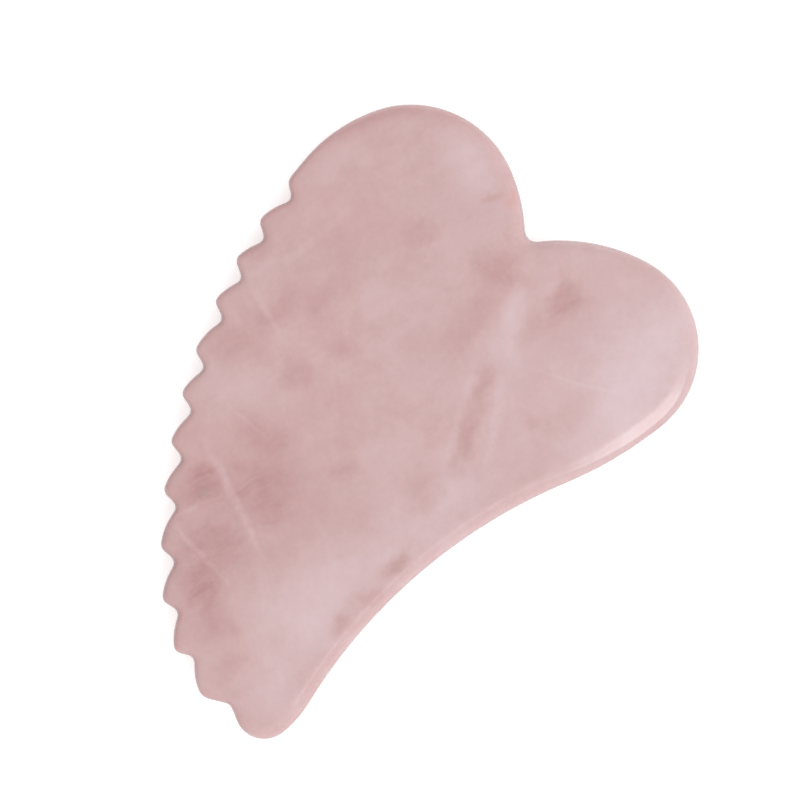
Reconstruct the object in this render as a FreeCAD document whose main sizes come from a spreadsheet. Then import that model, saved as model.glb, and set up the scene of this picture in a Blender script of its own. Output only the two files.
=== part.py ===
"""A gua sha scraper: one flat stone with two rounded lobes, a hollow side and a toothed side.

The stone lies flat on the XY plane and is as thick as it is tall in Z. The lobes are at the
+Y end, the tip is at the -Y end, the hollow side faces +X and the comb runs down the -X side.
The origin is at the middle of the stone's box, on its lower face.
"""
import FreeCAD, Part
import math
import os

import Sketcher

# Every driving size, in millimetres, degrees or a plain count. Angles are the direction
# in which the edge of the stone faces, counted anticlockwise from +X.
SIZES = [
    ("stone_length", 95.0, "overall, along Y"),
    ("stone_width", 66.0, "overall, along X"),
    ("stone_thickness", 6.0, "between the two flat faces"),
    ("side_lobe_radius", 15.0, "nose of the lobe above the hollow side"),
    ("side_flank_radius", 60.0, "from that nose down towards the hollow side"),
    ("side_shoulder_radius", 28.0, "from that nose up towards the notch"),
    ("side_shoulder_turn", 113.0, "where the nose becomes the shoulder"),
    ("crown_radius", 16.5, "nose of the lobe above the comb"),
    ("crown_drop", 24.3, "centre of that nose below the top of the stone"),
    ("crown_shoulder_radius", 26.0, "from that nose towards the notch"),
    ("crown_shoulder_turn", 75.0, "where the nose becomes the shoulder"),
    ("crown_flank_radius", 25.0, "from that nose down to the comb"),
    ("crown_flank_turn", 162.0, "where the nose becomes the flank"),
    ("notch_radius", 1.5, "floor of the notch between the lobes"),
    ("hollow_radius", 84.0, "the long hollow side"),
    ("tip_radius", 4.5, "the pointed lower corner"),
    ("tip_flank_radius", 17.0, "from the tip up to the hollow side"),
    ("tip_rise", 1.5, "bottom of the tip above the lowest tooth"),
    ("comb_turn", 190.5, "where the crown's flank becomes the line that the teeth touch"),
    ("comb_lower_radius", 26.5, "that line beside the tip"),
    ("tooth_depth", 2.1, "from the crests' line to the floor of a gap"),
    ("gap_drop", 2.7, "from a crest down to the floor of the gap below it"),
    ("foot_gap_drop", 4.4, "the same, from the lowest crest to the gap beside the tip"),
    ("crest_radius", 1.2, "rounding of a crest, seen from above"),
    ("foot_crest_radius", 2.2, "the same, of the lowest, broadest crest"),
    ("back_radius", 10.0, "the long bulging back of a tooth, seen from above"),
    ("gap_radius", 0.9, "rounding of a gap's floor, seen from above"),
    ("smooth_edge_radius", 2.2, "rounding of the rim where skin is stroked"),
    ("comb_edge_radius", 0.8, "rounding of the rim along the teeth"),
]
# The teeth are ground by hand and by eye, so each spacing from one crest to the next is a size
# of its own. They run upwards from the lowest crest, and start again on a longer comb.
SPACINGS = [8.0, 8.0, 8.0, 8.5, 7.5, 7.5, 7.0, 8.0, 7.0, 7.0, 7.5]
SIZES += [(f"spacing_{number}", value, "from a crest to the one above it")
          for number, value in enumerate(SPACINGS, start=1)]

NODE = "gua_sha_stone"
FACE_RIGHT = 0.0
FACE_DOWN = 270.0
CONVEX = 1
HOLLOW = -1
# The names that a sketch gives to an arc's or a line's points.
START, END, CENTRE = 1, 2, 3
# Two points nearer than this, in millimetres, are the same point.
TOUCHING = 1e-4


def make_sheet(doc):
    """Put the driving sizes in a spreadsheet, one named cell each."""
    sheet = doc.addObject("Spreadsheet::Sheet", "Sizes")
    for row, (name, value, note) in enumerate(SIZES, start=1):
        sheet.set(f"A{row}", name)
        sheet.set(f"B{row}", str(value))
        sheet.set(f"C{row}", note)
        sheet.setAlias(f"B{row}", name)
    doc.recompute()
    return sheet


# ---------------------------------------------------------------- plane geometry

def step(point, heading, distance):
    """The point reached from another one along a heading in degrees."""
    turn = math.radians(heading)
    return (point[0] + distance * math.cos(turn), point[1] + distance * math.sin(turn))


def heading_of(start, end):
    return math.degrees(math.atan2(end[1] - start[1], end[0] - start[0]))


def meeting_point(first, first_reach, second, second_reach):
    """The point at the two given distances, on the left of the way from first to second."""
    gap = math.dist(first, second)
    ahead = (first_reach ** 2 - second_reach ** 2 + gap ** 2) / (2 * gap)
    aside = math.sqrt(first_reach ** 2 - ahead ** 2)
    way = heading_of(first, second)
    return step(step(first, way, ahead), way + 90, aside)


class Round:
    """One round stretch of the outline: its circle, its side and the cells that set it.

    A rule is the expression that ties the centre's X or Y to the cells. Stretches without
    rules lie where the ones beside them and the comb's spacing put them.
    """

    def __init__(self, name, centre, cell, radius, side=CONVEX, rule_x=None, rule_y=None):
        self.name = name
        self.centre = centre
        self.cell = cell
        self.radius = radius
        self.side = side
        self.rule_x = rule_x
        self.rule_y = rule_y
        self.start = None
        self.end = None

    def touch(self, heading):
        """Where a path with this heading runs along the circle, the stone on its left."""
        return step(self.centre, heading + 90, -self.side * self.radius)

    def middle(self):
        """The halfway point of the stretch between its start and its end."""
        first = heading_of(self.centre, self.start)
        last = heading_of(self.centre, self.end)
        sweep = (self.side * (last - first)) % 360
        return step(self.centre, first + self.side * sweep / 2, self.radius)


# ---------------------------------------------------------------- the outline

def side_lobe(size):
    """The lobe above the hollow side: its nose, its shoulder and its flank."""
    radius = size.side_lobe_radius
    centre = (size.stone_width / 2 - radius, size.stone_length / 2 - radius)
    nose = Round("side_nose", centre, "side_lobe_radius", radius,
                 rule_x="Sizes.stone_width / 2 - Sizes.side_lobe_radius",
                 rule_y="Sizes.stone_length / 2 - Sizes.side_lobe_radius")
    flank = Round("side_flank", step(centre, FACE_RIGHT, radius - size.side_flank_radius),
                  "side_flank_radius", size.side_flank_radius)
    shoulder = Round("side_shoulder",
                     step(centre, size.side_shoulder_turn, radius - size.side_shoulder_radius),
                     "side_shoulder_radius", size.side_shoulder_radius)
    return nose, shoulder, flank


def crown_lobe(size):
    """The lobe above the comb: its shoulder, its nose and its flank."""
    radius = size.crown_radius
    spare = size.crown_flank_radius - radius
    flank_x = size.crown_flank_radius - size.stone_width / 2
    centre = (step((flank_x, 0), size.crown_flank_turn, spare)[0],
              size.stone_length / 2 - size.crown_drop)
    nose = Round("crown_nose", centre, "crown_radius", radius,
                 rule_x="Sizes.crown_flank_radius - Sizes.stone_width / 2"
                        " + (Sizes.crown_flank_radius - Sizes.crown_radius)"
                        " * cos(Sizes.crown_flank_turn * 1 deg)",
                 rule_y="Sizes.stone_length / 2 - Sizes.crown_drop")
    flank = Round("crown_flank", step(centre, size.crown_flank_turn, -spare),
                  "crown_flank_radius", size.crown_flank_radius)
    shoulder = Round("crown_shoulder",
                     step(centre, size.crown_shoulder_turn, radius - size.crown_shoulder_radius),
                     "crown_shoulder_radius", size.crown_shoulder_radius)
    return shoulder, nose, flank


def tip_rounds(size):
    """The lower corner: the tip itself and the flank that leads up to the hollow side."""
    height = size.tip_rise + size.tip_radius - size.stone_length / 2
    tip = Round("tip", (size.stone_width / 2 - size.tip_radius, height),
                "tip_radius", size.tip_radius,
                rule_x="Sizes.stone_width / 2 - Sizes.tip_radius",
                rule_y="Sizes.tip_rise + Sizes.tip_radius - Sizes.stone_length / 2")
    flank = Round("tip_flank", (size.stone_width / 2 - size.tip_flank_radius, height),
                  "tip_flank_radius", size.tip_flank_radius)
    return tip, flank


def crest_line(size, tip, crown_flank):
    """The line that the crests touch: its length, and a function giving a point and its facing.

    It starts at the lowest crest as one circle and goes over into a second, wider one, which
    leaves the crown's flank at the comb's turn and whose radius follows from that.
    """
    spare = size.comb_lower_radius - size.tip_radius
    aside = math.sqrt(2 * spare * size.tip_rise - size.tip_rise ** 2)
    lower = (tip.centre[0] - aside, size.comb_lower_radius - size.stone_length / 2)
    top = step(crown_flank.centre, size.comb_turn, size.crown_flank_radius)
    apart = math.dist(lower, top)
    ahead = apart * math.cos(math.radians(heading_of(lower, top) - size.comb_turn))
    radius = (apart ** 2 - size.comb_lower_radius ** 2) / (2 * (ahead - size.comb_lower_radius))
    upper = step(top, size.comb_turn, -radius)
    change = heading_of(upper, lower) % 360
    lower_length = math.radians(FACE_DOWN - change) * size.comb_lower_radius
    upper_length = math.radians(change - size.comb_turn) * radius

    def at(distance):
        if distance < lower_length:
            facing = FACE_DOWN - math.degrees(distance / size.comb_lower_radius)
            return step(lower, facing, size.comb_lower_radius), facing
        facing = change - math.degrees((distance - lower_length) / radius)
        return step(upper, facing, radius), facing

    return lower_length + upper_length, at


def crest_distances(size, length):
    """How far along the comb each crest lies, from the lowest to the last that still fits."""
    distances = [0.0]
    while True:
        cell = f"spacing_{(len(distances) - 1) % len(SPACINGS) + 1}"
        above = distances[-1] + getattr(size, cell)
        if above > length:
            return distances
        distances.append(above)


def tooth_back(size, name, gap, crest):
    """The long bulging back of a tooth, which touches the gap above it and its own crest."""
    radius = size.back_radius
    centre = meeting_point(gap.centre, radius + gap.radius, crest.centre, radius - crest.radius)
    return Round(name, centre, "back_radius", radius)


def comb_rounds(size, length, at):
    """The comb from the crown down to the tip: crests, gaps and the backs between them."""
    rounds = []
    for number, distance in enumerate(crest_distances(size, length)):
        cell, drop = ("crest_radius", size.gap_drop) if number else \
            ("foot_crest_radius", size.foot_gap_drop)
        radius = getattr(size, cell)
        point, facing = at(distance)
        crest = Round(f"crest_{number}", step(point, facing, -radius), cell, radius)
        point, facing = at(distance - drop)
        gap = Round(f"gap_{number}", step(point, facing, size.gap_radius - size.tooth_depth),
                    "gap_radius", size.gap_radius, HOLLOW)
        backs = [tooth_back(size, f"back_{number - 1}", gap, rounds[0])] if rounds else []
        rounds = [crest, gap] + backs + rounds
    return rounds


def between(name, cell, radius, before, after):
    """A hollow round stretch that touches the two convex ones beside it."""
    centre = meeting_point(after.centre, after.radius + radius, before.centre, before.radius + radius)
    return Round(name, centre, cell, radius, HOLLOW)


def outline(size):
    """All the round stretches, anticlockwise, each with its start and end point."""
    side_nose, side_shoulder, side_flank = side_lobe(size)
    crown_shoulder, crown_nose, crown_flank = crown_lobe(size)
    tip, tip_flank = tip_rounds(size)
    notch = between("notch", "notch_radius", size.notch_radius, side_shoulder, crown_shoulder)
    hollow = between("hollow", "hollow_radius", size.hollow_radius, tip_flank, side_flank)
    rounds = [side_nose, side_shoulder, notch, crown_shoulder, crown_nose, crown_flank]
    rounds += comb_rounds(size, *crest_line(size, tip, crown_flank))
    rounds += [tip, tip_flank, hollow, side_flank]
    join_rounds(rounds)
    return rounds


def join_rounds(rounds):
    """Find where each stretch leaves for the next one, along the line that touches both."""
    for here, there in zip(rounds, rounds[1:] + rounds[:1]):
        rise = there.side * there.radius - here.side * here.radius
        apart = math.dist(here.centre, there.centre)
        slope = max(-1.0, min(1.0, rise / apart))
        heading = heading_of(here.centre, there.centre) - math.degrees(math.asin(slope))
        here.end = here.touch(heading)
        there.start = there.touch(heading)


# ---------------------------------------------------------------- the model

class SizeReader:
    """Reads the sheet's cells as attributes."""

    def __init__(self, sheet):
        for name, _, _ in SIZES:
            setattr(self, name, float(sheet.get(name)))


def vector(point, height=0.0):
    return FreeCAD.Vector(point[0], point[1], height)


def arc_of(item):
    """The arc of one round stretch, which a sketch always holds anticlockwise."""
    circle = Part.Circle(vector(item.centre), FreeCAD.Vector(0, 0, 1), item.radius)
    first, last = (item.start, item.end) if item.side == CONVEX else (item.end, item.start)
    low = math.radians(heading_of(item.centre, first))
    high = math.radians(heading_of(item.centre, last))
    return Part.ArcOfCircle(circle, low, high)


def joints_of(rounds, shapes):
    """Constraints that join each stretch to the next, through a line where they don't touch."""
    joints = []
    for number, here in enumerate(rounds):
        after = (number + 1) % len(rounds)
        there = rounds[after]
        leave = END if here.side == CONVEX else START
        arrive = START if there.side == CONVEX else END
        if math.dist(here.end, there.start) < TOUCHING:
            joints.append(Sketcher.Constraint("Coincident", number, leave, after, arrive))
            continue
        line = len(shapes)
        shapes.append(Part.LineSegment(vector(here.end), vector(there.start)))
        joints.append(Sketcher.Constraint("Coincident", number, leave, line, START))
        joints.append(Sketcher.Constraint("Coincident", line, END, after, arrive))
    return joints


def draw_outline(sketch, rounds):
    """The outline's arcs and lines, joined, with their radii and centres tied to the cells."""
    shapes = [arc_of(item) for item in rounds]
    joints = joints_of(rounds, shapes)
    sketch.addGeometry(shapes, False)
    sketch.addConstraint(joints)
    for number, item in enumerate(rounds):
        rules = [("Radius", number, item.radius, f"Sizes.{item.cell}")]
        if item.rule_x:
            rules.append(("DistanceX", number, CENTRE, item.centre[0], item.rule_x))
            rules.append(("DistanceY", number, CENTRE, item.centre[1], item.rule_y))
        for *given, rule in rules:
            place = sketch.addConstraint(Sketcher.Constraint(*given))
            sketch.setExpression(f"Constraints[{place}]", rule)


def make_blank(doc, rounds):
    """The plate with its whole outline, before its rims are rounded."""
    body = doc.addObject("PartDesign::Body", "Blank")
    body.Label = "blank"
    sketch = body.newObject("Sketcher::SketchObject", "Outline")
    base = [plane for plane in body.Origin.OriginFeatures if plane.Role == "XY_Plane"][0]
    sketch.AttachmentSupport = [(base, "")]
    sketch.MapMode = "FlatFace"
    draw_outline(sketch, rounds)
    pad = body.newObject("PartDesign::Pad", "Plate")
    pad.Profile = sketch
    pad.setExpression("Length", "Sizes.stone_thickness")
    doc.recompute()
    return body


def rim_radii(size, item, edge):
    """The rounding of a rim edge at its two ends: small on the teeth, large elsewhere."""
    smooth = size.smooth_edge_radius
    fine = size.comb_edge_radius
    if item.name.startswith(("back", "crest", "gap")):
        return fine, fine
    if item.name not in ("crown_flank", "tip"):
        return smooth, smooth
    teeth_end = item.end if item.name == "crown_flank" else item.start
    first = edge.valueAt(edge.FirstParameter)
    starts_at_teeth = math.dist((first.x, first.y), teeth_end) < TOUCHING
    return (fine, smooth) if starts_at_teeth else (smooth, fine)


def round_rims(doc, blank, rounds, size):
    """Round the upper and lower rim all the way round the stone."""
    rims = []
    for number, edge in enumerate(blank.Shape.Edges, start=1):
        middle = edge.valueAt((edge.FirstParameter + edge.LastParameter) / 2)
        if TOUCHING < middle.z < size.stone_thickness - TOUCHING:
            continue
        place = (middle.x, middle.y)
        nearest = min(rounds, key=lambda item: math.dist(item.middle(), place))
        on_arc = math.dist(nearest.middle(), place) < TOUCHING
        radii = rim_radii(size, nearest, edge) if on_arc else (size.comb_edge_radius,) * 2
        rims.append((number, *radii))
    stone = doc.addObject("Part::Fillet", "Stone")
    stone.Label = NODE
    stone.Base = blank
    stone.Edges = rims
    doc.recompute()
    return stone


def check(doc, stone):
    """Stop if any feature failed or the stone isn't one valid solid."""
    for item in doc.Objects:
        if "Invalid" in item.State or "Error" in item.State:
            raise RuntimeError(f"{item.Name} failed: {item.State}")
    if stone.Shape.isNull() or not stone.Shape.isValid() or len(stone.Shape.Solids) != 1:
        raise RuntimeError(f"{stone.Label} isn't one valid solid")


def main():
    doc = FreeCAD.newDocument("GuaShaStone")
    size = SizeReader(make_sheet(doc))
    rounds = outline(size)
    blank = make_blank(doc, rounds)
    stone = round_rims(doc, blank, rounds, size)
    check(doc, stone)
    os.makedirs("parts", exist_ok=True)
    stone.Shape.exportStep(f"parts/{stone.Label}.step")
    box = stone.Shape.optimalBoundingBox()
    print(f"{stone.Label}: {box.XLength:.2f} x {box.YLength:.2f} x {box.ZLength:.2f} mm,"
          f" {stone.Shape.Volume:.0f} cubic mm")


main()
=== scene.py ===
# %% [markdown]
# # A gua sha stone of rose quartz
#
# This lesson builds the looks of one hand-held massage stone around its engineering model.
# Everything below is placed from the frame's own numbers, so the first step is to load it and to
# look at what came in.

# %% Load the frame
import math

import bmesh
import bpy
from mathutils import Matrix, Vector, noise
from mathutils.bvhtree import BVHTree


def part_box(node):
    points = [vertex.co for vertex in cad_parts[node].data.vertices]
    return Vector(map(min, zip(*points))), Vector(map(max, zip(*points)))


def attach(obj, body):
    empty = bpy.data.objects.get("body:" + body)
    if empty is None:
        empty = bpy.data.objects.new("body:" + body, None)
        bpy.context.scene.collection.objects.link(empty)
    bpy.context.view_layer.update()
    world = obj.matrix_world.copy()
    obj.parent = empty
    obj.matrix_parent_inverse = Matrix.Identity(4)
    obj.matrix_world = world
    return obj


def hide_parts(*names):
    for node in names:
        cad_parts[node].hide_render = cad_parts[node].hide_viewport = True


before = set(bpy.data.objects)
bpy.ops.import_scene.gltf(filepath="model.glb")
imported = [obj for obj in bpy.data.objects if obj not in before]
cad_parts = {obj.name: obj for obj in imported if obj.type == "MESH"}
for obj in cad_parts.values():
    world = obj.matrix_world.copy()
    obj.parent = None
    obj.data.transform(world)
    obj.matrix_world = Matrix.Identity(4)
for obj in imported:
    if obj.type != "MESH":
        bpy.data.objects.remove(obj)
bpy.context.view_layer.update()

CAD_NODE = "gua_sha_stone"
MM = 0.001
low, high = (Vector(corner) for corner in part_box(CAD_NODE))
size = high - low
middle_height = (low.z + high.z) / 2
print("stone, mm:", [round(side / MM, 2) for side in size])

# %% [markdown]
# ## The stone's skin
#
# The real stone is sawn from a slab, ground to its outline, and then tumbled for days with ever
# finer grit, which rounds every edge and leaves a skin with no seams at all. The engineering
# model has the right outline and rims, but its mesh is long thin triangles, which are no good for
# shading or for soft changes of shape. A subdivision surface would need a clean cage round two
# dozen teeth. Remeshing a copy into small even faces is simpler, and it suits a stone: afterwards
# every part of the skin can be moved a little, as the grit does. The copy's doubled points are
# merged first, because a frame node is made of loose triangles.

# %% Copy the engineering mesh and remesh it evenly
SKIN_PITCH = 0.37 * MM
MERGE_DISTANCE = 0.002 * MM


def copy_of_node(name, node):
    """A new object with a merged copy of a frame node's mesh."""
    skin = bmesh.new()
    skin.from_mesh(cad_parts[node].data)
    bmesh.ops.remove_doubles(skin, verts=skin.verts, dist=MERGE_DISTANCE)
    mesh = bpy.data.meshes.new(name)
    skin.to_mesh(mesh)
    skin.free()
    piece = bpy.data.objects.new(name, mesh)
    bpy.context.scene.collection.objects.link(piece)
    return piece


def remesh_evenly(piece, pitch):
    """Replace a piece's mesh by small even faces that follow the same surface."""
    even = piece.modifiers.new("even_skin", "REMESH")
    even.mode = "VOXEL"
    even.voxel_size = pitch
    even.adaptivity = 0.0
    graph = bpy.context.evaluated_depsgraph_get()
    fresh = bpy.data.meshes.new_from_object(piece.evaluated_get(graph))
    piece.modifiers.clear()
    piece.data = fresh
    fresh.name = piece.name


stone = copy_of_node("polished_stone", CAD_NODE)
remesh_evenly(stone, SKIN_PITCH)
print("faces after remeshing:", len(stone.data.polygons))

# %% [markdown]
# ## Tumbling
#
# Tumbling takes most off what sticks out. Moving every point part of the way towards the middle
# of its neighbours does the same: flat stretches stay where they are, and corners melt. A few
# light passes also take out the faint steps that remeshing leaves.

# %% Round the skin as the grit does
TUMBLE_PASSES = 8
TUMBLE_STRENGTH = 0.5

skin = bmesh.new()
skin.from_mesh(stone.data)
for _ in range(TUMBLE_PASSES):
    bmesh.ops.smooth_vert(skin, verts=skin.verts, factor=TUMBLE_STRENGTH,
                          use_axis_x=True, use_axis_y=True, use_axis_z=True)
print("skin points:", len(skin.verts))

# %% [markdown]
# ## How far in from the rim
#
# The shape of the shoulders and the painted shade near the rim both depend on how far a point
# lies inside the outline, seen from above. A fence makes that easy to measure: the engineering mesh
# is cut at half its height, the cut edge is drawn straight up and down into a thin wall, and the
# nearest spot on an upright wall is the nearest spot of the outline.

# %% Put a fence round the stone and measure every point's distance to it
FENCE_REACH = 20 * MM


def fence_round(node):
    """A search tree over an upright wall along a frame node's outline."""
    fence = bmesh.new()
    fence.from_mesh(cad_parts[node].data)
    bmesh.ops.remove_doubles(fence, verts=fence.verts, dist=MERGE_DISTANCE)
    bmesh.ops.bisect_plane(fence, geom=fence.verts[:] + fence.edges[:] + fence.faces[:],
                           plane_co=(0, 0, middle_height), plane_no=(0, 0, 1),
                           clear_inner=True, clear_outer=True)
    bmesh.ops.translate(fence, verts=fence.verts, vec=(0, 0, -FENCE_REACH))
    drawn = bmesh.ops.extrude_edge_only(fence, edges=fence.edges[:])["geom"]
    top = [part for part in drawn if isinstance(part, bmesh.types.BMVert)]
    bmesh.ops.translate(fence, verts=top, vec=(0, 0, 2 * FENCE_REACH))
    tree = BVHTree.FromBMesh(fence)
    fence.free()
    return tree


fence = fence_round(CAD_NODE)
inside = [fence.find_nearest(point.co)[3] for point in skin.verts]
print("deepest point inside the rim, mm:", round(max(inside) / MM, 1))

# %% [markdown]
# ## Shoulders and flats
#
# On the real stone the broad faces are flat in the middle and fall away towards the rim. The
# lobe above the hollow side, which does most of the stroking, has the broadest shoulder, and it
# ends in a tight rim, while elsewhere the face hardly falls and the rim is rounder. Each point's
# height is scaled by a smooth function of its distance from the rim. A very slight unevenness, a
# few hundredths of a millimetre over the width of a finger, keeps the reflections from looking
# machined.

# %% Shape the shoulders
RIM_RADIUS = 2.2          # the engineering rim, in millimetres, along the smooth sides
HALF = size.z / 2 / MM    # half the thickness, in millimetres
SHARP_RIM = 1.0           # the tighter rim on the lobe that does the stroking
LOBE_CROWN = 0.45         # how far the lobe's face falls to its rim
LOBE_WIDTH = 5.0          # over what width
LOBE_PLACE = Vector((high.x - 2 * MM, high.y - 18 * MM))
LOBE_REACH = 25 * MM
EVEN_CROWN = 0.05         # the slight fall of the face everywhere else
EVEN_WIDTH = 3.5          # over what width
WAVE_LENGTH = 14 * MM
WAVE_HEIGHT = 0.02 * MM


def smooth_step(value):
    """0 below 0, 1 above 1, and an even S between them."""
    held = min(max(value, 0.0), 1.0)
    return held * held * (3 - 2 * held)


def rounded_height(distance, radius, top):
    """The height of a face with a rounded rim, at a distance inside the rim."""
    short = max(radius - distance, 0.0)
    return top - radius + math.sqrt(max(radius * radius - short * short, 0.0))


def face_height(place, distance):
    """What share of its height a point keeps, at a distance inside the rim in millimetres."""
    near_lobe = 1 - smooth_step((place.xy - LOBE_PLACE).length / LOBE_REACH)
    crown = EVEN_CROWN + near_lobe * (LOBE_CROWN - EVEN_CROWN)
    width = EVEN_WIDTH + near_lobe * (LOBE_WIDTH - EVEN_WIDTH)
    radius = RIM_RADIUS + near_lobe * (SHARP_RIM - RIM_RADIUS)
    falling = max(1 - distance / width, 0.0)
    ground = rounded_height(distance, RIM_RADIUS, HALF)
    wanted = rounded_height(distance, radius, HALF - crown * falling * falling)
    return wanted / ground


for point, distance in zip(skin.verts, inside):
    above = point.co.z - middle_height
    kept = face_height(point.co, distance / MM)
    wave = noise.noise(point.co / WAVE_LENGTH) * WAVE_HEIGHT
    point.co.z = middle_height + above * kept + wave * min(distance / (EVEN_WIDTH * MM), 1.0)

bmesh.ops.recalc_face_normals(skin, faces=skin.faces)
for face in skin.faces:
    face.smooth = True
skin.to_mesh(stone.data)
skin.free()
heights = [point.co.z / MM for point in stone.data.vertices]
print("lowest and highest point, mm:", round(min(heights), 3), round(max(heights), 3))

# %% [markdown]
# The distance from the rim is kept on the mesh as an attribute, in millimetres, so that the
# material can paint shade into the colour near the rim, where the skin turns away from the lights
# and where light leaves through the side.

# %% Keep the rim distance for the material
rim_attribute = stone.data.attributes.new("rim_distance", "FLOAT", "POINT")
rim_attribute.data.foreach_set("value", [distance / MM for distance in inside])
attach(stone, "root")
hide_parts(CAD_NODE)

# %% [markdown]
# ## Building blocks for rose quartz
#
# Rose quartz is milky: threads too fine to see scatter the light, thicker in some places than in
# others, so the pink comes in clouds. Healed cracks run through it as pale veils. Both are fixed
# in the stone, so the patterns read object coordinates, here in millimetres. One small helper
# adds a node and wires it, and a node group makes the shape that clouds and veils share: a soft
# oval with a place, a turn, a length and a width. Its rim is ragged because the coordinates that
# it reads are already stirred by noise.

# %% Node helpers
def add_node(tree, kind, wires=None, **settings):
    """A new node with its settings made and its inputs wired or set."""
    node = tree.nodes.new(kind)
    for name, value in settings.items():
        setattr(node, name, value)
    for socket, source in (wires or {}).items():
        if isinstance(source, bpy.types.NodeSocket):
            tree.links.new(source, node.inputs[socket])
        else:
            node.inputs[socket].default_value = source
    return node


def add_math(tree, operation, first, second=0.0, third=0.0):
    """One step of arithmetic, as a socket."""
    return add_node(tree, "ShaderNodeMath", {0: first, 1: second, 2: third},
                    operation=operation).outputs[0]


def new_group(name, inputs, outputs):
    """An empty node group with named sockets, and its two end nodes."""
    group = bpy.data.node_groups.new(name, "ShaderNodeTree")
    for label, kind in inputs:
        group.interface.new_socket(label, in_out="INPUT", socket_type=kind)
    for label, kind in outputs:
        group.interface.new_socket(label, in_out="OUTPUT", socket_type=kind)
    return group, group.nodes.new("NodeGroupInput"), group.nodes.new("NodeGroupOutput")


# %% The soft oval that clouds and veils share
def make_soft_oval():
    """A group whose mask is 1 at a place and fades to 0 at the edge of a turned oval."""
    group, given, result = new_group(
        "soft_oval",
        [("Place", "NodeSocketVector"), ("Centre", "NodeSocketVector"), ("Turn", "NodeSocketFloat"),
         ("Length", "NodeSocketFloat"), ("Width", "NodeSocketFloat")],
        [("Mask", "NodeSocketFloat")])
    offset = add_node(group, "ShaderNodeVectorMath",
                      {0: given.outputs["Place"], 1: given.outputs["Centre"]}, operation="SUBTRACT")
    turned = add_node(group, "ShaderNodeVectorRotate",
                      {"Vector": offset.outputs[0], "Angle": given.outputs["Turn"]},
                      rotation_type="Z_AXIS", invert=True)
    parts = add_node(group, "ShaderNodeSeparateXYZ", {0: turned.outputs[0]})
    along = add_math(group, "DIVIDE", parts.outputs[0], given.outputs["Length"])
    across = add_math(group, "DIVIDE", parts.outputs[1], given.outputs["Width"])
    square = add_math(group, "MULTIPLY", along, along)
    reach = add_math(group, "SQRT", add_math(group, "MULTIPLY_ADD", across, across, square))
    fade = add_node(group, "ShaderNodeMapRange",
                    {"Value": reach, "From Min": 1.0, "From Max": 0.0},
                    interpolation_type="SMOOTHERSTEP")
    group.links.new(fade.outputs[0], result.inputs["Mask"])
    return group


soft_oval = make_soft_oval()
print("soft oval group nodes:", len(soft_oval.nodes))

# %% [markdown]
# The clouds themselves come in two kinds. One is plain: billows of every size. The other is
# combed, drawn out along the direction in which the stone once grew. A second group makes both,
# from a size, a direction and how far the pattern is drawn out.

# %% Clouds, plain or drawn out along a direction
def make_cloud():
    """A group giving a cloudy value around 0, from a size, a turn and a stretch."""
    group, given, result = new_group(
        "cloud",
        [("Place", "NodeSocketVector"), ("Turn", "NodeSocketFloat"), ("Size", "NodeSocketFloat"),
         ("Stretch", "NodeSocketFloat"), ("Roughness", "NodeSocketFloat")],
        [("Value", "NodeSocketFloat")])
    turned = add_node(group, "ShaderNodeVectorRotate",
                      {"Vector": given.outputs["Place"], "Angle": given.outputs["Turn"]},
                      rotation_type="Z_AXIS", invert=True)
    parts = add_node(group, "ShaderNodeSeparateXYZ", {0: turned.outputs[0]})
    along = add_math(group, "DIVIDE", parts.outputs[0], given.outputs["Stretch"])
    drawn = add_node(group, "ShaderNodeCombineXYZ",
                     {0: along, 1: parts.outputs[1], 2: parts.outputs[2]})
    pitch = add_math(group, "DIVIDE", 1.0, given.outputs["Size"])
    billows = add_node(group, "ShaderNodeTexNoise",
                       {"Vector": drawn.outputs[0], "Scale": pitch, "Detail": 7.0,
                        "Roughness": given.outputs["Roughness"], "Distortion": 0.25})
    centred = add_math(group, "SUBTRACT", billows.outputs[0], 0.5)
    group.links.new(centred, result.inputs["Value"])
    return group


cloud = make_cloud()
print("cloud group nodes:", len(cloud.nodes))
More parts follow.
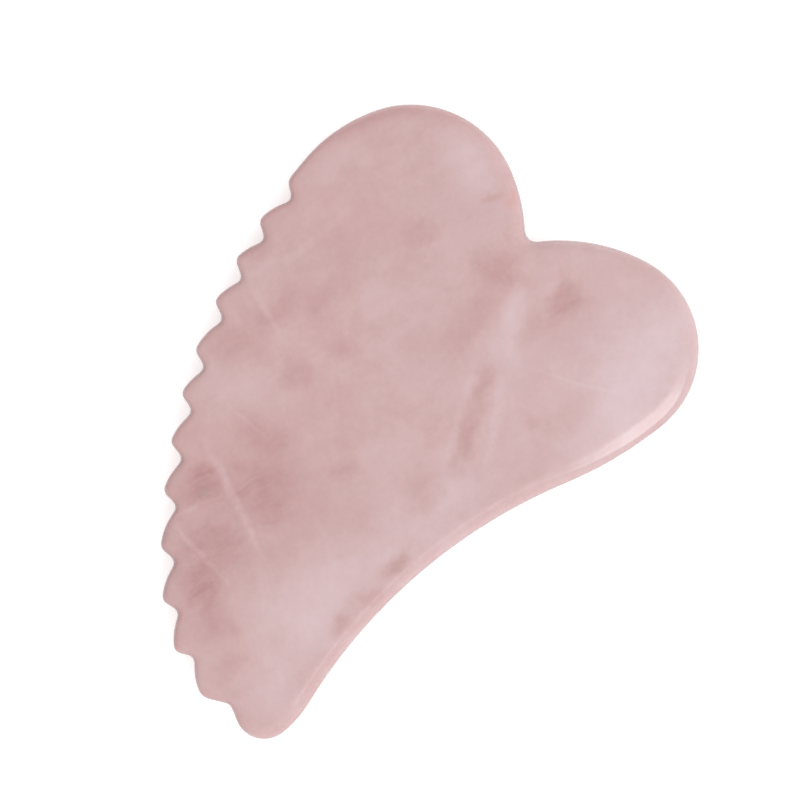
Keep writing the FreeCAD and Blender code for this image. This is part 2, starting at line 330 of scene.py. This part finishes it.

# %% [markdown]
# ## The rose quartz material
#
# The material adds its parts into one number, how milky the stone is at a point, and a colour
# ramp turns that into pinks: deep rose where the stone is clear, lilac white where it is full of
# milk. Clouds are scattered by noise, while the large features that give this stone its face are
# listed one by one. Each row holds a place in millimetres, a turn in degrees, a
# length, a width and a strength. First come the deeper patches, along the comb, in the middle and
# on the lobe.

# %% Deeper patches, listed one by one
PATCHES = [
    ((9, 32), 101, 7, 3.5, 0.42),
    ((11, 31), 95, 12, 7, 0.22),
    ((-1, 28), 36, 8, 4.5, 0.34),
    ((3, 19), 113, 11, 4, 0.24),
    ((1, 13), 90, 8, 6, 0.16),
    ((-13, 22), 71, 5, 3, 0.26),
    ((11, 15), 124, 6, 2.4, 0.34),
    ((15, 9), 120, 6, 3, 0.34),
    ((18, 5), 116, 5, 2.4, 0.22),
    ((20, 17), 31, 3, 2, 0.22),
    ((23, 22), 98, 9, 4, 0.16),
    ((-14, 5), 105, 7, 3, 0.24),
    ((-17, 0), 80, 8, 3.5, 0.24),
    ((-18, -5), 16, 5, 2.5, 0.20),
    ((-17, -10), 51, 7, 5, 0.34),
    ((-7, 2), 51, 4, 2.5, 0.20),
    ((-8, -6), 111, 5, 3.5, 0.26),
    ((-26, 1), 81, 5, 3, 0.20),
    ((-27, 20), 51, 3.5, 2.5, 0.16),
    ((-4, -16), 21, 7, 4, 0.26),
    ((1, -21), 71, 12, 6, 0.36),
    ((6, -21), 66, 11, 4, 0.20),
    ((-4, -27), 81, 6, 4, 0.42),
    ((4, -31), 21, 9, 6, 0.30),
    ((8, -37), 151, 9, 5, 0.50),
    ((15, -39), 51, 5, 3, 0.22),
    ((8, -9), 71, 5, 2.5, 0.22),
    ((18, -2), 111, 7, 4.5, 0.30),
    ((24, -12), 101, 4.5, 2.5, 0.44),
    ((25, -19), 76, 4, 2, 0.34),
    ((26, -24), 111, 4, 2.2, 0.32),
    ((20, -41), 81, 5, 4, 0.20),
    ((3, -28), 65, 44, 28, 0.20),
    ((-24, 10), 78, 36, 20, 0.10),
]
print("deeper patches:", len(PATCHES))

# %% [markdown]
# Then the milky places: the lobe, the long band from the notch to the tip, and the veils of
# healed cracks, which are long and narrow. The veils keep almost straight, so they are stirred
# much less than the patches.

# %% Milky places and veils, listed one by one
MILK = [
    ((24, 37), 101, 17, 12, 0.36),
    ((28, 25), 91, 13, 8, 0.24),
    ((20, -26), 91, 20, 12, 0.40),
    ((21, -6), 91, 16, 10, 0.26),
    ((27, -38), 101, 9, 7, 0.24),
    ((-17, 35), 6, 10, 6, 0.22),
    ((-28, 20), 86, 9, 5, 0.14),
    ((-11, -15), 81, 9, 4, 0.12),
    ((10, -3), 91, 9, 5, 0.14),
    ((-9, 11), 71, 7, 5, 0.12),
    ((6, 25), 126, 10, 3, 0.26),
    ((24, 28), 95, 48, 34, 0.15),
    ((-6, 38), 0, 26, 18, 0.10),
]
VEILS = [
    ((12, 10), 126, 11, 1.3, 0.16),
    ((15, 15), 130, 15, 1.6, 0.20),
    ((1, -25), 168, 15, 1.2, 0.30),
    ((14, -30), 151, 8, 1.6, 0.16),
    ((4, -34), 4, 9, 0.8, 0.24),
    ((-2, -30), 76, 6, 0.8, 0.20),
    ((-7, -16), 9, 6, 0.6, 0.14),
    ((-19, -3), 171, 9, 0.9, 0.16),
    ((19, 26), 35, 13, 0.5, 0.12),
    ((-22, 7), 91, 11, 1.2, 0.12),
    ((-24, -1), 76, 10, 1.0, 0.12),
]
print("milky places and veils:", len(MILK) + len(VEILS))

# %% [markdown]
# Last come the few inclusions: a rusty thread near the crown's rim and some grey smoke by the
# comb. They have colours of their own, so they are laid over the pink. The pinks below run from
# the clearest stone to the milkiest.

# %% Inclusions and the pinks
INCLUSIONS = [
    ((-10, 34), 68, 3.2, 1.0, 0.40, (0.50, 0.29, 0.20)),
    ((-3, -28), 96, 2.6, 1.0, 0.40, (0.36, 0.26, 0.25)),
    ((-8, 36), 111, 3.0, 1.6, 0.30, (0.66, 0.32, 0.24)),
    ((24, -12), 101, 2.6, 1.2, 0.30, (0.40, 0.28, 0.24)),
]
PINKS = [
    (0.00, (0.470, 0.250, 0.245)),
    (0.25, (0.545, 0.325, 0.320)),
    (0.50, (0.612, 0.402, 0.402)),
    (0.75, (0.672, 0.490, 0.498)),
    (1.00, (0.725, 0.575, 0.600)),
]
WARM = (1.015, 0.995, 0.975, 1.0)
COOL = (0.985, 1.005, 1.030, 1.0)


# %% Helpers that lay a cloud or an oval over what is there
def place_oval(tree, place, row):
    """The mask of one oval, from its place, turn, length and width."""
    centre, turn, length, width = row[:4]
    oval = add_node(tree, "ShaderNodeGroup", node_tree=soft_oval)
    tree.links.new(place, oval.inputs["Place"])
    oval.inputs["Centre"].default_value = (*centre, 0.0)
    oval.inputs["Turn"].default_value = math.radians(turn)
    oval.inputs["Length"].default_value = length
    oval.inputs["Width"].default_value = width
    return oval.outputs["Mask"]


def sum_of_ovals(tree, place, rows):
    """The strengths of several ovals, added where they overlap."""
    total = 0.0
    for row in rows:
        total = add_math(tree, "MULTIPLY_ADD", place_oval(tree, place, row), row[4], total)
    return total


def place_cloud(tree, place, turn, size_mm, stretch, roughness):
    """One layer of cloud around 0."""
    layer = add_node(tree, "ShaderNodeGroup", node_tree=cloud)
    tree.links.new(place, layer.inputs["Place"])
    layer.inputs["Turn"].default_value = math.radians(turn)
    layer.inputs["Size"].default_value = size_mm
    layer.inputs["Stretch"].default_value = stretch
    layer.inputs["Roughness"].default_value = roughness
    return layer.outputs["Value"]


def stir(tree, place, pitch, reach):
    """Push a place about by noise, so that shapes drawn there get ragged."""
    swirl = add_node(tree, "ShaderNodeTexNoise",
                     {"Vector": place, "Scale": 1 / pitch, "Detail": 5.0, "Roughness": 0.62})
    lean = add_node(tree, "ShaderNodeVectorMath", {0: swirl.outputs[1]}, operation="SUBTRACT")
    lean.inputs[1].default_value = (0.5, 0.5, 0.5)
    push = add_node(tree, "ShaderNodeVectorMath", {0: lean.outputs[0]}, operation="SCALE")
    push.inputs["Scale"].default_value = reach
    return add_node(tree, "ShaderNodeVectorMath", {0: place, 1: push.outputs[0]},
                    operation="ADD").outputs[0]


def paint_shade(tree, colour, mask, shade):
    """Multiply a colour by a painted shade where a mask is 1."""
    mix = add_node(tree, "ShaderNodeMix", {0: mask}, data_type="RGBA", blend_type="MULTIPLY")
    tree.links.new(colour, mix.inputs["A"])
    mix.inputs["B"].default_value = (*shade, 1.0)
    return mix.outputs["Result"]


# %% [markdown]
# The parts are mixed in three steps. First the milk: clouds of all sizes, feathers drawn out
# along the way the stone grew, others that cross them, a fine grain, and the placed features. The
# feathers also break up the patches, which on the real stone are made of countless short dark
# threads.

# %% Mix the milk
GROWTH = 78               # the direction of the feathers, in degrees
EVEN_MILK = 0.51          # how milky the stone is before anything is added
CLOUD_SHARE = 0.50
FEATHER_SHARE = 0.24
CROSSING_SHARE = 0.14
GRAIN_SHARE = 0.13
PATCH_DEPTH = 0.68
PATCH_BREAK_UP = 2.6      # how strongly the feathers break up a patch
MILK_LIFT = 0.70
VEIL_LIFT = 0.62
VEIL_WEAR = 3.0           # how strongly the crossing feathers wear a veil away


def mix_milk(tree, in_mm):
    """How milky the stone is at a place, as a socket."""
    ragged = stir(tree, in_mm, pitch=5.0, reach=5.5)
    wavering = stir(tree, in_mm, pitch=9.0, reach=3.0)
    steady = stir(tree, in_mm, pitch=6.0, reach=1.8)
    clouds = place_cloud(tree, in_mm, 0, size_mm=9.0, stretch=1.0, roughness=0.74)
    feathers = place_cloud(tree, wavering, GROWTH, size_mm=2.2, stretch=3.2, roughness=0.66)
    crossing = place_cloud(tree, wavering, GROWTH + 75, size_mm=2.6, stretch=3.0, roughness=0.62)
    grain = place_cloud(tree, in_mm, 0, size_mm=0.9, stretch=1.0, roughness=0.60)
    milk = EVEN_MILK
    for layer, share in ((clouds, CLOUD_SHARE), (feathers, FEATHER_SHARE),
                         (crossing, CROSSING_SHARE), (grain, GRAIN_SHARE)):
        milk = add_math(tree, "MULTIPLY_ADD", layer, share, milk)
    depth = sum_of_ovals(tree, ragged, PATCHES)
    broken = add_math(tree, "MULTIPLY_ADD", feathers, PATCH_BREAK_UP * PATCH_DEPTH, PATCH_DEPTH)
    milk = add_math(tree, "SUBTRACT", milk, add_math(tree, "MULTIPLY", depth, broken))
    milk = add_math(tree, "MULTIPLY_ADD", sum_of_ovals(tree, ragged, MILK), MILK_LIFT, milk)
    veils = sum_of_ovals(tree, steady, VEILS)
    worn = add_math(tree, "MULTIPLY_ADD", crossing, VEIL_WEAR * VEIL_LIFT, VEIL_LIFT)
    return add_math(tree, "ADD", milk, add_math(tree, "MULTIPLY", veils, worn))


# %% [markdown]
# Next the colour: the ramp, a slow drift between warm and cool, the inclusions, and painted shade
# along the rim. Where the skin turns away from the lights, and where light that enters the
# translucent stone near its rim leaves through the side, the rim looks deeper, so shade is painted
# into the colour there. The painted shade on the rim of the crown, the other lobe, which faces away
# from the soft box, is the deepest.

# %% Mix the colour
# Painted shade along the rim: how far inside the rim each reaches, in millimetres, and the colour
# it multiplies by.
CROWN = ((-19, 24), 0, 26, 26)
SHOULDER_PAINTED_SHADE = (1.6, (0.98, 0.97, 0.96))      # how far inside the rim it reaches, and its shade
EDGE_PAINTED_SHADE = (0.7, (0.76, 0.75, 0.76))
CROWN_PAINTED_SHADE = (3.8, (0.94, 0.80, 0.79))
DRIFT_LENGTH = 11


def fall_off(tree, distance, width):
    """A mask that is 1 at the rim and 0 at a distance inside it."""
    return add_node(tree, "ShaderNodeMapRange",
                    {"Value": distance, "From Min": width, "From Max": 0.0},
                    interpolation_type="SMOOTHSTEP").outputs[0]


def mix_colour(tree, in_mm, milk):
    """The stone's colour at a place, with painted shade along the rim, as a socket."""
    ramp = add_node(tree, "ShaderNodeValToRGB", {0: milk})
    while len(ramp.color_ramp.elements) < len(PINKS):
        ramp.color_ramp.elements.new(0.5)
    for element, (position, colour) in zip(ramp.color_ramp.elements, PINKS):
        element.position = position
        element.color = (*colour, 1.0)
    drift = add_node(tree, "ShaderNodeTexNoise",
                     {"Vector": in_mm, "Scale": 1 / DRIFT_LENGTH, "Detail": 2.0})
    cast = add_node(tree, "ShaderNodeMix", {0: drift.outputs[0]}, data_type="RGBA")
    cast.inputs["A"].default_value = WARM
    cast.inputs["B"].default_value = COOL
    cool = add_node(tree, "ShaderNodeMix", {0: 1.0}, data_type="RGBA", blend_type="MULTIPLY")
    tree.links.new(ramp.outputs[0], cool.inputs["A"])
    tree.links.new(cast.outputs["Result"], cool.inputs["B"])
    colour = cool.outputs["Result"]
    frayed = stir(tree, in_mm, pitch=1.2, reach=1.6)
    for *oval, strength, shade in INCLUSIONS:
        mask = add_math(tree, "MULTIPLY", place_oval(tree, frayed, oval), strength)
        mix = add_node(tree, "ShaderNodeMix", {0: mask}, data_type="RGBA")
        tree.links.new(colour, mix.inputs["A"])
        mix.inputs["B"].default_value = (*shade, 1.0)
        colour = mix.outputs["Result"]
    # Painted shade: the colour is darkened towards the rim, where the skin turns away from the
    # lights.
    rim = add_node(tree, "ShaderNodeAttribute", attribute_name="rim_distance").outputs["Fac"]
    for width, shade in (SHOULDER_PAINTED_SHADE, EDGE_PAINTED_SHADE):
        colour = paint_shade(tree, colour, fall_off(tree, rim, width), shade)
    # Painted shade on the crown's rim, the side that faces away from the soft box.
    width, shade = CROWN_PAINTED_SHADE
    crown = add_math(tree, "MULTIPLY", fall_off(tree, rim, width), place_oval(tree, in_mm, CROWN))
    return paint_shade(tree, colour, crown, shade)


# %% [markdown]
# Last the shader. Polished quartz reflects like thick glass, and a little of the light goes under
# the skin and comes out close by. The polish isn't perfect: a faint unevenness in the gloss and a
# bump far too low to see as relief keep the highlights alive.

# %% The finished stone
GLOSS_RANGE = (0.16, 0.26)             # the lowest and the highest roughness
GLOW_DEPTH = 1.5 * MM                  # how far light travels under the skin


def make_rose_quartz():
    """The material of the whole stone."""
    material = bpy.data.materials.new("rose_quartz")
    material.use_nodes = True
    tree = material.node_tree
    tree.nodes.clear()
    where = add_node(tree, "ShaderNodeTexCoord")
    mapping = add_node(tree, "ShaderNodeMapping", {"Vector": where.outputs["Object"]})
    mapping.inputs["Scale"].default_value = (1 / MM,) * 3
    in_mm = mapping.outputs[0]
    colour = mix_colour(tree, in_mm, mix_milk(tree, in_mm))
    polish = add_node(tree, "ShaderNodeTexNoise", {"Vector": in_mm, "Scale": 1.4, "Detail": 3.0})
    gloss = add_node(tree, "ShaderNodeMapRange",
                     {"Value": polish.outputs[0], "To Min": GLOSS_RANGE[0],
                      "To Max": GLOSS_RANGE[1]})
    ripple = add_node(tree, "ShaderNodeBump",
                      {"Height": polish.outputs[0], "Strength": 0.03, "Distance": 0.2 * MM})
    surface = add_node(tree, "ShaderNodeBsdfPrincipled",
                       {"Base Color": colour, "Roughness": gloss.outputs[0],
                        "Normal": ripple.outputs[0], "IOR": 1.54, "Subsurface Weight": 0.2,
                        "Subsurface Scale": GLOW_DEPTH})
    surface.inputs["Subsurface Radius"].default_value = (1.0, 0.55, 0.5)
    add_node(tree, "ShaderNodeOutputMaterial", {"Surface": surface.outputs[0]})
    print("rose quartz nodes:", len(tree.nodes))
    return material


stone.data.materials.clear()
stone.data.materials.append(make_rose_quartz())

# %% [markdown]
# ## The table and the light
#
# The stone lies on a plain white table that glows a little, as a product table lit from below
# does, so hardly any shadow shows. A pale dome fills in from all sides but is dimmer behind the
# comb, and one small soft box hangs over the hollow side, some way off the vertical. A polished
# rim mirrors it: where the skin has turned just enough to face half way between the camera and
# the box, a bright line appears, thin on a tight shoulder and broad on a soft one.

# %% Table
TABLE_HALF = 1.5          # half the table's side, in metres
TABLE_GLOW = 0.40
TABLE_GAP = 0.02 * MM     # keeps the table clear of the stone's underside


def make_table():
    """A large square sheet just under the stone."""
    sheet = bmesh.new()
    bmesh.ops.create_grid(sheet, x_segments=1, y_segments=1, size=TABLE_HALF)
    bmesh.ops.translate(sheet, verts=sheet.verts, vec=(0.0, 0.0, low.z - TABLE_GAP))
    mesh = bpy.data.meshes.new("table")
    sheet.to_mesh(mesh)
    sheet.free()
    table = bpy.data.objects.new("table", mesh)
    bpy.context.scene.collection.objects.link(table)
    paint = bpy.data.materials.new("white_table")
    paint.use_nodes = True
    face = paint.node_tree.nodes["Principled BSDF"]
    face.inputs["Base Color"].default_value = (0.95, 0.95, 0.95, 1.0)
    face.inputs["Roughness"].default_value = 0.9
    face.inputs["Specular IOR Level"].default_value = 0.1
    face.inputs["Emission Color"].default_value = (1.0, 1.0, 1.0, 1.0)
    face.inputs["Emission Strength"].default_value = TABLE_GLOW
    mesh.materials.append(paint)


make_table()

# %% Lights
DOME_STRENGTH = 1.06
DIM_SIDE = 0.40           # the share of its light that the dome gives behind the comb
BOX_HEADING = 18          # the side that the box hangs over, in degrees from the hollow side
BOX_DISTANCE = 0.60       # in metres, as its width and length are
BOX_TILT = 27             # in degrees off the vertical
BOX_WIDTH = 0.14
BOX_LENGTH = 0.15
BOX_POWER = 0.43


def light_dome(strength, dim, heading):
    """Pale light from every side, dimmer from the side opposite a heading."""
    world = bpy.data.worlds.new("dome")
    world.use_nodes = True
    tree = world.node_tree
    way = math.radians(heading)
    direction = add_node(tree, "ShaderNodeTexCoord").outputs["Generated"]
    facing = add_node(tree, "ShaderNodeVectorMath", {0: direction}, operation="DOT_PRODUCT")
    facing.inputs[1].default_value = (math.cos(way), math.sin(way), 0.0)
    level = add_node(tree, "ShaderNodeMapRange",
                     {"Value": facing.outputs["Value"], "From Min": -1.0, "From Max": 0.0,
                      "To Min": strength * dim, "To Max": strength})
    seen = add_node(tree, "ShaderNodeLightPath").outputs["Is Camera Ray"]
    shown = add_node(tree, "ShaderNodeMix", {0: seen, 2: level.outputs[0], 3: 1.0})
    sky = tree.nodes["Background"]
    sky.inputs["Color"].default_value = (1.0, 1.0, 1.0, 1.0)
    tree.links.new(shown.outputs[0], sky.inputs["Strength"])
    bpy.context.scene.world = world


def hang_soft_box(name, tilt, heading, width, length, power):
    """A soft box aimed at the stone, tilted off the vertical towards a heading."""
    lamp = bpy.data.lights.new(name, "AREA")
    lamp.shape = "RECTANGLE"
    lamp.size = width
    lamp.size_y = length
    lamp.energy = power
    box = bpy.data.objects.new(name, lamp)
    lean, way = math.radians(tilt), math.radians(heading)
    aim = Vector((math.sin(lean) * math.cos(way), math.sin(lean) * math.sin(way), math.cos(lean)))
    box.location = Vector((0, 0, middle_height)) + aim * BOX_DISTANCE
    box.rotation_euler = (0.0, lean, way)
    bpy.context.scene.collection.objects.link(box)


light_dome(DOME_STRENGTH, DIM_SIDE, BOX_HEADING)
hang_soft_box("side_box", BOX_TILT, BOX_HEADING, BOX_WIDTH, BOX_LENGTH, BOX_POWER)

# %% [markdown]
# ## The camera
#
# The camera looks straight down, turned so that the stone's crown is at the top of the picture
# and its tip at the bottom left. A long lens keeps the sides of the stone from showing. The
# colours are shown without a film curve, so that white stays white.

# %% Camera
VIEW_WIDTH = 121.6 * MM
VIEW_CENTRE = Vector((4.9 * MM, 4.0 * MM))
VIEW_TURN = 51
LENS = 135.0
SENSOR = 36.0

eye = bpy.data.cameras.new("camera")
eye.lens = LENS
eye.sensor_width = SENSOR
eye.clip_end = 10.0
camera = bpy.data.objects.new("camera", eye)
away = VIEW_WIDTH * LENS / SENSOR
camera.location = (VIEW_CENTRE.x, VIEW_CENTRE.y, middle_height + away)
camera.rotation_euler = (0.0, 0.0, math.radians(VIEW_TURN))
bpy.context.scene.collection.objects.link(camera)
bpy.context.scene.camera = camera
bpy.context.scene.view_settings.view_transform = "Standard"
print("camera height, m:", round(camera.location.z, 3))
